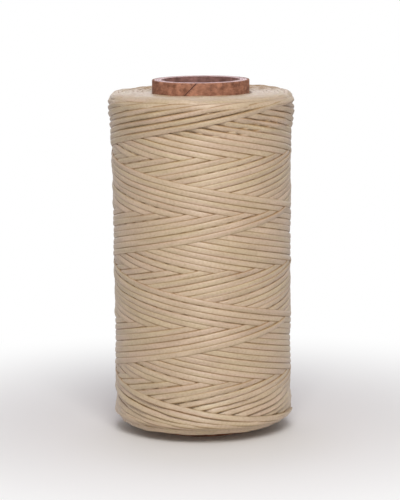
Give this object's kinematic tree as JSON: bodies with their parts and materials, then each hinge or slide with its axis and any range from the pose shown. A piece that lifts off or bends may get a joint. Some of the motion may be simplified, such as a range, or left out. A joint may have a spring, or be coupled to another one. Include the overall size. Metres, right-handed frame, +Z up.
{
  "type": "waxed thread spool",
  "caption": "Spool of waxed leather thread cross-wound on a spiral-wound cardboard tube, open right through for a spindle or a thread-stand pin.",
  "frame": {"origin": "middle of the tube's lower end, where the spool stands", "axes": "+Z up along the tube; the newest strokes of the thread cross 14 degrees clockwise of the +X and -X sides; -Y is the front"},
  "size_m": [0.0512, 0.0512, 0.096],
  "materials": {
    "kraft_outer": "matte brown kraft paper, outer strip with an open spiral seam",
    "kraft_body": "matte grey-pink board, cut edge",
    "kraft_liner": "matte brown kraft paper",
    "waxed_thread": "beige flat braid, satin from its wax"
  },
  "bodies": {
    "root": {"core_liner_ply": "kraft_liner", "core_body_ply_1": "kraft_body", "core_body_ply_2": "kraft_body", "core_body_ply_3": "kraft_body", "core_outer_ply": "kraft_outer", "thread_winding": "waxed_thread", "thread_last_stroke_up": "waxed_thread", "thread_last_stroke_down": "waxed_thread", "thread_top_turns": "waxed_thread", "thread_bottom_turns": "waxed_thread"}
  },
  "joints": []
}
